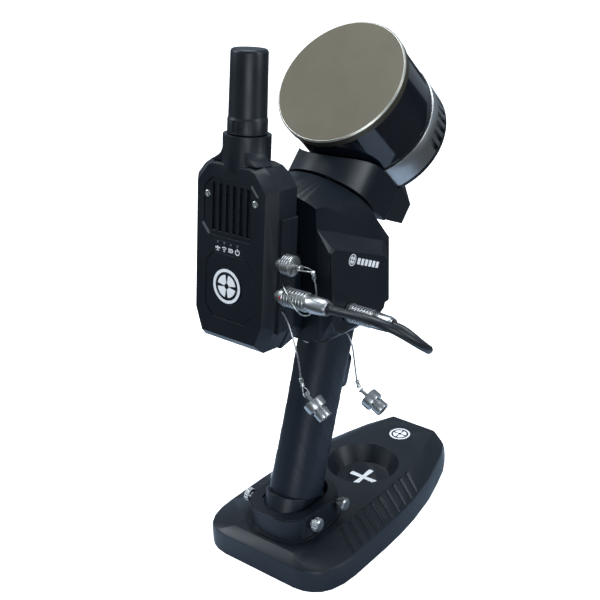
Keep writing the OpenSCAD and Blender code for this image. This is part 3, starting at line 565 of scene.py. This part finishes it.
@kept
def lens_glass():
    n = Nodes("lens_glass")
    n.link(n.mixed(n.noise(140, 3), (0.004, 0.004, 0.009), (0.010, 0.008, 0.020)),
           n.shader.inputs["Base Color"])
    n.link(n.ranged(n.noise(120, 4), 0.03, 0.06), n.shader.inputs["Roughness"])
    n.set(Specular_IOR_Level=0.7, Coat_Weight=0.8, Coat_Roughness=0.03)
    return n.material


# Grey for the status lights' lenses, and also a painted highlight colour for the heat sink's ridges.
@kept
def lens_and_highlight_grey():
    n = Nodes("lens_and_highlight_grey")
    n.link(n.mixed(n.noise(300, 2), (0.10, 0.11, 0.12), (0.16, 0.17, 0.18)), n.shader.inputs["Base Color"])
    n.link(n.ranged(n.noise(200, 2), 0.15, 0.25), n.shader.inputs["Roughness"])
    return n.material


@kept
def circuit_board():
    n = Nodes("circuit_board")
    n.link(n.mixed(n.ranged(n.noise(420, 1), 0, 1, 0.5, 0.52), (0.010, 0.10, 0.035),
                   (0.016, 0.17, 0.06)), n.shader.inputs["Base Color"])
    n.link(n.ranged(n.noise(200, 3), 0.28, 0.42), n.shader.inputs["Roughness"])
    return n.material


SLOTS = {
    "charcoal_plastic": charcoal_plastic, "graphite_plastic": graphite_plastic,
    "rubber": soft_rubber, "nickel_metal": nickel_metal, "cap_aluminium": cap_aluminium,
    "bare_aluminium": bare_aluminium, "dark_window": dark_window, "lens_glass": lens_glass,
    "white_print": white_print, "circuit_board": circuit_board, "copper": copper,
    "battery_wrap": battery_wrap, "cable_jacket": cable_jacket,
}

# ------------------------------------------------------------------ stage


COOL = (0.86, 0.93, 1)


def area_light(name, place, aim, size, power, colour=(1, 1, 1)):
    data = bpy.data.lights.new(name, "AREA")
    data.shape = "RECTANGLE"
    data.size, data.size_y = size
    data.energy = power
    data.color = colour
    light = bpy.data.objects.new(name, data)
    light.location = place
    light.rotation_euler = (Vector(aim) - Vector(place)).to_track_quat("-Z", "Y").to_euler()
    bpy.context.scene.collection.objects.link(light)


def flat_square(name, half, height, material):
    data = bpy.data.meshes.new(name)
    data.from_pydata([(-half, -half, height), (half, -half, height), (half, half, height),
                      (-half, half, height)], [], [(0, 1, 2, 3)])
    data.materials.append(material)
    obj = bpy.data.objects.new(name, data)
    bpy.context.scene.collection.objects.link(obj)
    return obj


def stage_colour(name, low, high, glow=0.0):
    n = Nodes(name)
    n.link(n.mixed(n.noise(3, 2), low, high), n.shader.inputs["Base Color"])
    n.set(Roughness=0.9, Emission_Color=(1, 1, 1, 1), Emission_Strength=glow)
    return n.material


def make_stage():
    """A white floor for the eye; the object itself mirrors a dim room with a pale mat under it."""
    floor = flat_square("floor", 30, 0, stage_colour("pale_floor", (0.90, 0.90, 0.90),
                                                     (0.93, 0.93, 0.93), 0.95))
    floor.visible_glossy = floor.visible_diffuse = floor.visible_shadow = False
    room = flat_square("dim_floor", 6, -0.004, stage_colour("dim", (0.05, 0.05, 0.05), (0.07, 0.07, 0.07)))
    mat = flat_square("pale_mat", 0.26, -0.002, stage_colour("mat", (0.50, 0.60, 0.74), (0.58, 0.68, 0.82)))
    room.visible_camera = mat.visible_camera = False
    world = bpy.data.worlds.new("studio")
    bpy.context.scene.world = world
    world.use_nodes = True
    tree = world.node_tree
    soft, bright = tree.nodes["Background"], tree.nodes.new("ShaderNodeBackground")
    soft.inputs["Color"].default_value = (0.72, 0.86, 1, 1)
    soft.inputs["Strength"].default_value = 0.36
    bright.inputs["Color"].default_value = (1, 1, 1, 1)
    bright.inputs["Strength"].default_value = 1.2
    mix, path = tree.nodes.new("ShaderNodeMixShader"), tree.nodes.new("ShaderNodeLightPath")
    tree.links.new(path.outputs["Is Camera Ray"], mix.inputs[0])
    tree.links.new(soft.outputs[0], mix.inputs[1])
    tree.links.new(bright.outputs[0], mix.inputs[2])
    tree.links.new(mix.outputs[0], tree.nodes["World Output"].inputs["Surface"])
    area_light("left", (-1.5, -0.9, 1.3), (0, 0, 0.25), (0.7, 1.2), 18, COOL)
    area_light("right", (1.6, 0.4, 0.9), (0, 0, 0.25), (0.3, 1.3), 13, COOL)
    area_light("top", (-0.3, 0.2, 1.9), (0, 0, 0.2), (1.2, 1.2), 29, COOL)
    area_light("front", (1.15, -1.4, 0.25), (0, 0, 0.25), (0.8, 0.9), 12.5, COOL)
    bpy.context.scene.view_settings.view_transform = "Standard"


def assign_materials():
    for name, obj in NODES.items():
        material = SLOTS[SLOT_OF[name]]()
        obj.data.materials.clear()
        obj.data.materials.append(material)


# ------------------------------------------------------------------ head


BASE_R = 51.5
FIN_COUNT = 23
FIN_PITCH = 8.5  # degrees
FIN_GAP = 4.4
FIN_FLOOR = 48.2
FIN_START = 14.9


def make_lidar():
    """Cap with a thin rim ring whose bright metal is a painted highlight, dark window, black shadow gap,
    finned base in front of its plate.
    """
    cap = lathe("laser_cap", [(0, -47), (49.85, -47), (50.85, -46.0), (50.5, -45.7), (50.85, -45.5),
                              (51, -45.3), (51, -40.5), (50.7, -40.1), (47, -40), (0, -40)],
                LIDAR, 180, cap_aluminium())
    belongs(cap, "head", "cap_aluminium", "lidar_cap")
    # A thin ring on the cap's chamfer: its pale metal is a painted highlight along the rim.
    edge = lathe("laser_cap_highlight_ring", [(49.7, -47.02), (49.95, -47.08), (51, -46.03), (50.9, -45.8)],
                 LIDAR, 180, rim_highlight_metal())
    belongs(edge, "head", "cap_aluminium")
    window = lathe("laser_window", [(46, -40), (49.7, -40), (49.9, -39.7), (49.9, -38), (50.1, -20),
                                    (50.5, -4), (50.75, 1.5), (50.95, 2.0), (50.85, 2.5), (48.9, 2.6),
                                    (48.9, 4.9), (47.5, 4.9)], LIDAR, 180, dark_window())
    belongs(window, "head", "dark_window", "lidar_window")

    def finned(r, z, a):
        if z < FIN_START or r < FIN_FLOOR:
            return r
        turn = (math.degrees(a) - 270 + 180) % 360 - 180
        nearest = round(turn / FIN_PITCH)
        if abs(nearest) > FIN_COUNT // 2:
            return r
        half_gap = math.degrees(FIN_GAP / 2 / BASE_R)
        return FIN_FLOOR if abs(turn - nearest * FIN_PITCH) < half_gap else r
    rows = [(47, 5), (50.9, 5), (51.3, 5.15), (BASE_R, 5.5), (BASE_R, 14.8), (BASE_R, 15),
            (BASE_R, 28.6), (51.2, 28.9), (48, 29), (0, 29)]
    base = lathe("laser_base", rows, LIDAR, 720, bare_aluminium(), finned)
    belongs(base, "head", "bare_aluminium", "lidar_base")


# ------------------------------------------------------------------ module


def make_antenna():
    rod = lathe("antenna_rod", [(4.6, 12.3), (13.1, 12.3), (13.5, 12.7), (13.5, 21.9), (13.3, 22.5),
                                (13.0, 23.2), (12.95, 24), (12.6, 50), (12.45, 64.6), (12.3, 65.6),
                                (11.8, 66.4), (11.0, 66.9), (10, 67), (0, 67)],
                CASE, 120, charcoal_plastic())
    belongs(rod, "antenna", "charcoal_plastic", "antenna_housing")
    face = CASE @ Matrix.Rotation(math.radians(20), 4, "Z")
    rails = ((12.9, 13.7, -26, 26), (21.3, 22.1, -26, 26), (13.7, 21.3, -26, -22.6),
             (13.7, 21.3, 22.6, 26), (15.4, 19.6, -11, -8), (15.4, 19.6, 8, 11), (17, 18, -8, 8))
    bm = bmesh.new()
    steps = 12
    for low, high, left, right in rails:
        rows = []
        for z in (low, high):
            for r in (13.3, 13.95):
                rows.append([bm.verts.new(face @ (Vector((
                    r * math.sin(math.radians(left + (right - left) * k / steps)),
                    -r * math.cos(math.radians(left + (right - left) * k / steps)), z)) * MM))
                    for k in range(steps + 1)])
        low_in, low_out, high_in, high_out = rows
        for k in range(steps):
            bm.faces.new([low_out[k], low_out[k + 1], high_out[k + 1], high_out[k]])
            bm.faces.new([low_in[k], low_in[k + 1], low_out[k + 1], low_out[k]])
            bm.faces.new([high_in[k], high_in[k + 1], high_out[k + 1], high_out[k]])
        for k in (0, steps):
            bm.faces.new([low_in[k], low_out[k], high_out[k], high_in[k]])
    mark = finish_mesh("antenna_mark", bm, charcoal_plastic())
    belongs(mark, "antenna", "charcoal_plastic")


# A frame on the module's rear face: X to the right as seen from behind, Y up, Z out of the face
REAR = CASE @ Matrix.Rotation(math.radians(90), 4, "X")


def rear(x, z, out):
    return REAR @ at(x, z, out)


def box_outline(x0, y0, x1, y1):
    return [(x0, y0), (x1, y0), (x1, y1), (x0, y1)]


LIGHTS_X = -1.7
LIGHTS = [LIGHTS_X + 5.9 * (k - 1.5) for k in range(4)]


def pictograms():
    """Four plain signs under the lights: a satellite, radio waves, a battery and a power sign."""
    x = LIGHTS[0]
    signs = [box_outline(x - 2.1, -0.5, x - 0.8, 0.7), box_outline(x + 0.8, -0.5, x + 2.1, 0.7),
             box_outline(x - 0.5, -1, x + 0.5, 1.2), box_outline(x - 1.3, -2.1, x + 1.3, -1.5)]
    x = LIGHTS[1]
    signs += [sector(0.6, 0.05, 0, 359, (x, -1.5)), sector(1.8, 1.2, 45, 135, (x, -1.5)),
              sector(3.1, 2.5, 45, 135, (x, -1.5))]
    x = LIGHTS[2]
    signs += [box_outline(x - 2.1, -1.4, x - 1.5, 1.4), box_outline(x + 1.0, -1.4, x + 1.6, 1.4),
              box_outline(x - 1.5, 0.8, x + 1.0, 1.4), box_outline(x - 1.5, -1.4, x + 1.0, -0.8),
              box_outline(x + 1.6, -0.6, x + 2.1, 0.6), box_outline(x - 1.1, -0.5, x + 0.2, 0.5)]
    x = LIGHTS[3]
    return signs + [sector(2.1, 1.4, 120, 420, (x, 0)), box_outline(x - 0.3, 0.4, x + 0.3, 2.5)]


def ridge(name, ends, wide, tall):
    """A raised bar with sloping flanks between two (x, z) points on the module's rear face; its pale grey
    is a painted highlight along the bar.
    """
    (x0, z0), (x1, z1) = ends
    along = Vector((x1 - x0, z1 - z0)).normalized()
    side = Vector((-along.y, along.x)) * wide / 2
    bm = bmesh.new()
    rings = []
    for (x, z), s in ((ends[0], 1), (ends[1], -1)):
        foot, top = Vector((x, z)), Vector((x, z)) + s * along * tall * 1.6
        ring = []
        for p, out, k in ((foot, 13.8, 1), (top, 15 + tall, 0.25),
                          (top, 15 + tall, -0.25), (foot, 13.8, -1)):
            q = p + side * k * (1 if out < 15 else 1.6)
            ring.append(bm.verts.new(rear(q.x, q.y, out).translation))
        rings.append(ring)
    for k in range(4):
        n = (k + 1) % 4
        bm.faces.new([rings[0][k], rings[0][n], rings[1][n], rings[1][k]])
    bm.faces.new(rings[0])
    bm.faces.new(rings[1][::-1])
    # Pale grey instead of the face's charcoal: a painted highlight on the ridge.
    return belongs(finish_mesh(name, bm, lens_and_highlight_grey()), "scanner", "charcoal_plastic")


def make_module_details():
    strip = prisms("light_strip", [box_outline(LIGHTS_X - 13, -3.5, LIGHTS_X + 13, 3.5)],
                   rear(0, -63.5, 14.3), 0.62, charcoal_plastic())
    belongs(strip, "scanner", "charcoal_plastic", "status_lights")
    signs = prisms("light_signs", pictograms(), rear(0, -65.4, 14.92), 0.1, white_print())
    belongs(signs, "scanner", "white_print")
    for k, x in enumerate(LIGHTS):
        lens = lathe(f"light_lens_{k}", [(0.75, -0.2), (0.75, 0.1), (0.5, 0.25), (0, 0.3)],
                     rear(x, -61.4, 14.92), 24, lens_and_highlight_grey())
        belongs(lens, "scanner", "white_print")
    disc = lathe("badge_disc", [(0, 0.6), (12.0, 0.6), (12.1, 0.4), (12.1, -0.4)],
                 rear(-1.8, -91.6, 14.2), 96, graphite_plastic())
    belongs(disc, "scanner", "graphite_plastic", "module_badge")
    target = prisms("badge_target", target_outlines(12.2), rear(-1.8, -91.2, 14.85), 0.2, white_print())
    belongs(target, "scanner", "white_print")
    screws = [lathe(f"sink_screw_{k}", [(0, -0.3), (1.0, -0.3), (1.15, 0.55), (1.7, 0.7), (2.3, 0.45),
                                        (2.5, 0), (2.5, -0.6)], rear(x, -29.8, 14.4), 40, steel_wire())
              for k, x in enumerate((-21, 21))]
    belongs(screws[0], "scanner", "nickel_metal", "heat_sink_screws")
    belongs(screws[1], "scanner", "nickel_metal")
    # The heat sink's two ridges, whose pale grey paints the highlights that catch them.
    ridge("sink_ridge_upper", ((17.4, -17.2), (24.6, -25.4)), 1.7, 0.9)
    ridge("sink_ridge_lower", ((-25.2, -49.5), (-17.6, -57.8)), 1.7, 0.9)


def make_marks():
    """Plain white marks on the plate and on the right side panel."""
    plate = prisms("plate_target", target_outlines(9.3), at(0, 116, 25), 0.15, white_print())
    belongs(plate, "base", "white_print")
    ground = lathe("plate_disc", [(9.5, -0.6), (9.5, 0), (0, 0)], at(0, 116, 25), 96, charcoal_plastic())
    belongs(ground, "base", "charcoal_plastic", "base_emblem")
    side = at(53, -10.6, 248.8) @ Matrix.Rotation(math.radians(-25), 4, "X") @ Matrix.Rotation(
        math.radians(90), 4, "Z") @ Matrix.Rotation(math.radians(90), 4, "X")
    marks = target_outlines(4.3, (-15.5, 0))
    marks += [box_outline(-9 + 4.9 * k, -2.3, -5.5 + 4.9 * k, 2.3) for k in range(6)]
    badge = prisms("side_mark", marks, side, 0.12, white_print())
    belongs(badge, "scanner", "white_print")


# ------------------------------------------------------------------ handle


def make_grip():
    """The grip: a slot section along the leaning handle, with slanting moulded grooves."""
    wide, deep, low, high = 38, 46, 22, 166
    grooved_from, grooved_to, pitch = 34, 128, 19
    rows, around = 150, 120
    bm = bmesh.new()
    rings = []
    for i in range(rows + 1):
        z = low + (high - low) * i / rows
        ring = []
        for k in range(around):
            t = 2 * math.pi * k / around
            x = wide / 2 * math.cos(t)
            y = wide / 2 * math.sin(t) + math.copysign((deep - wide) / 2, math.sin(t)) * min(
                1, abs(math.sin(t)) * 6)
            across = abs(math.cos(t)) ** 2
            slant = (z + 0.9 * y) % pitch
            grooved = grooved_from < z < grooved_to
            groove = math.exp(-((slant - pitch / 2) / 0.7) ** 2) * 0.55 if grooved else 0
            facet = 0.35 * (slant / pitch - 0.5) if grooved else 0
            inset = (groove - facet) * across
            waist = 0.5 * math.sin(math.pi * min(1, max(0, (z - 30) / 110)))
            scale = 1 - (inset + waist + 0.25) / (wide / 2)
            ring.append(bm.verts.new(HANDLE @ (Vector((x * scale, y * scale, z)) * MM)))
        rings.append(ring)
    for lower, upper in zip(rings, rings[1:]):
        for k in range(around):
            n = (k + 1) % around
            bm.faces.new([lower[k], lower[n], upper[n], upper[k]])
    bm.faces.new(rings[0][::-1])
    grip = finish_mesh("grip_sleeve", bm, soft_rubber(), 40)
    belongs(grip, "scanner", "rubber", "handle_grip")


make_camera()
make_cords()
make_stage()
assign_materials()
make_screwed_cap()
make_lidar()
make_antenna()
make_module_details()
make_marks()
make_grip()
for name, width in (("module_case", 0.45), ("module_back_cover", 0.6), ("turntable", 1.0),
                    ("lidar_bracket", 0.8), ("socket_collar", 0.5), ("right_side_panel", 0.5),
                    ("left_side_panel", 0.5), ("main_housing", 0.6), ("bottom_cover", 0.8),
                    ("service_cover", 0.3), ("heat_sink", 0.3), ("trigger_button", 0.8),
                    ("power_button", 0.5), ("base_plate", 0.5), ("module_bracket", 0.6),
                    ("handle_foot", 0.5), ("marker_cross", 0.2), ("front_camera", 0.5)):
    refined(name, width)
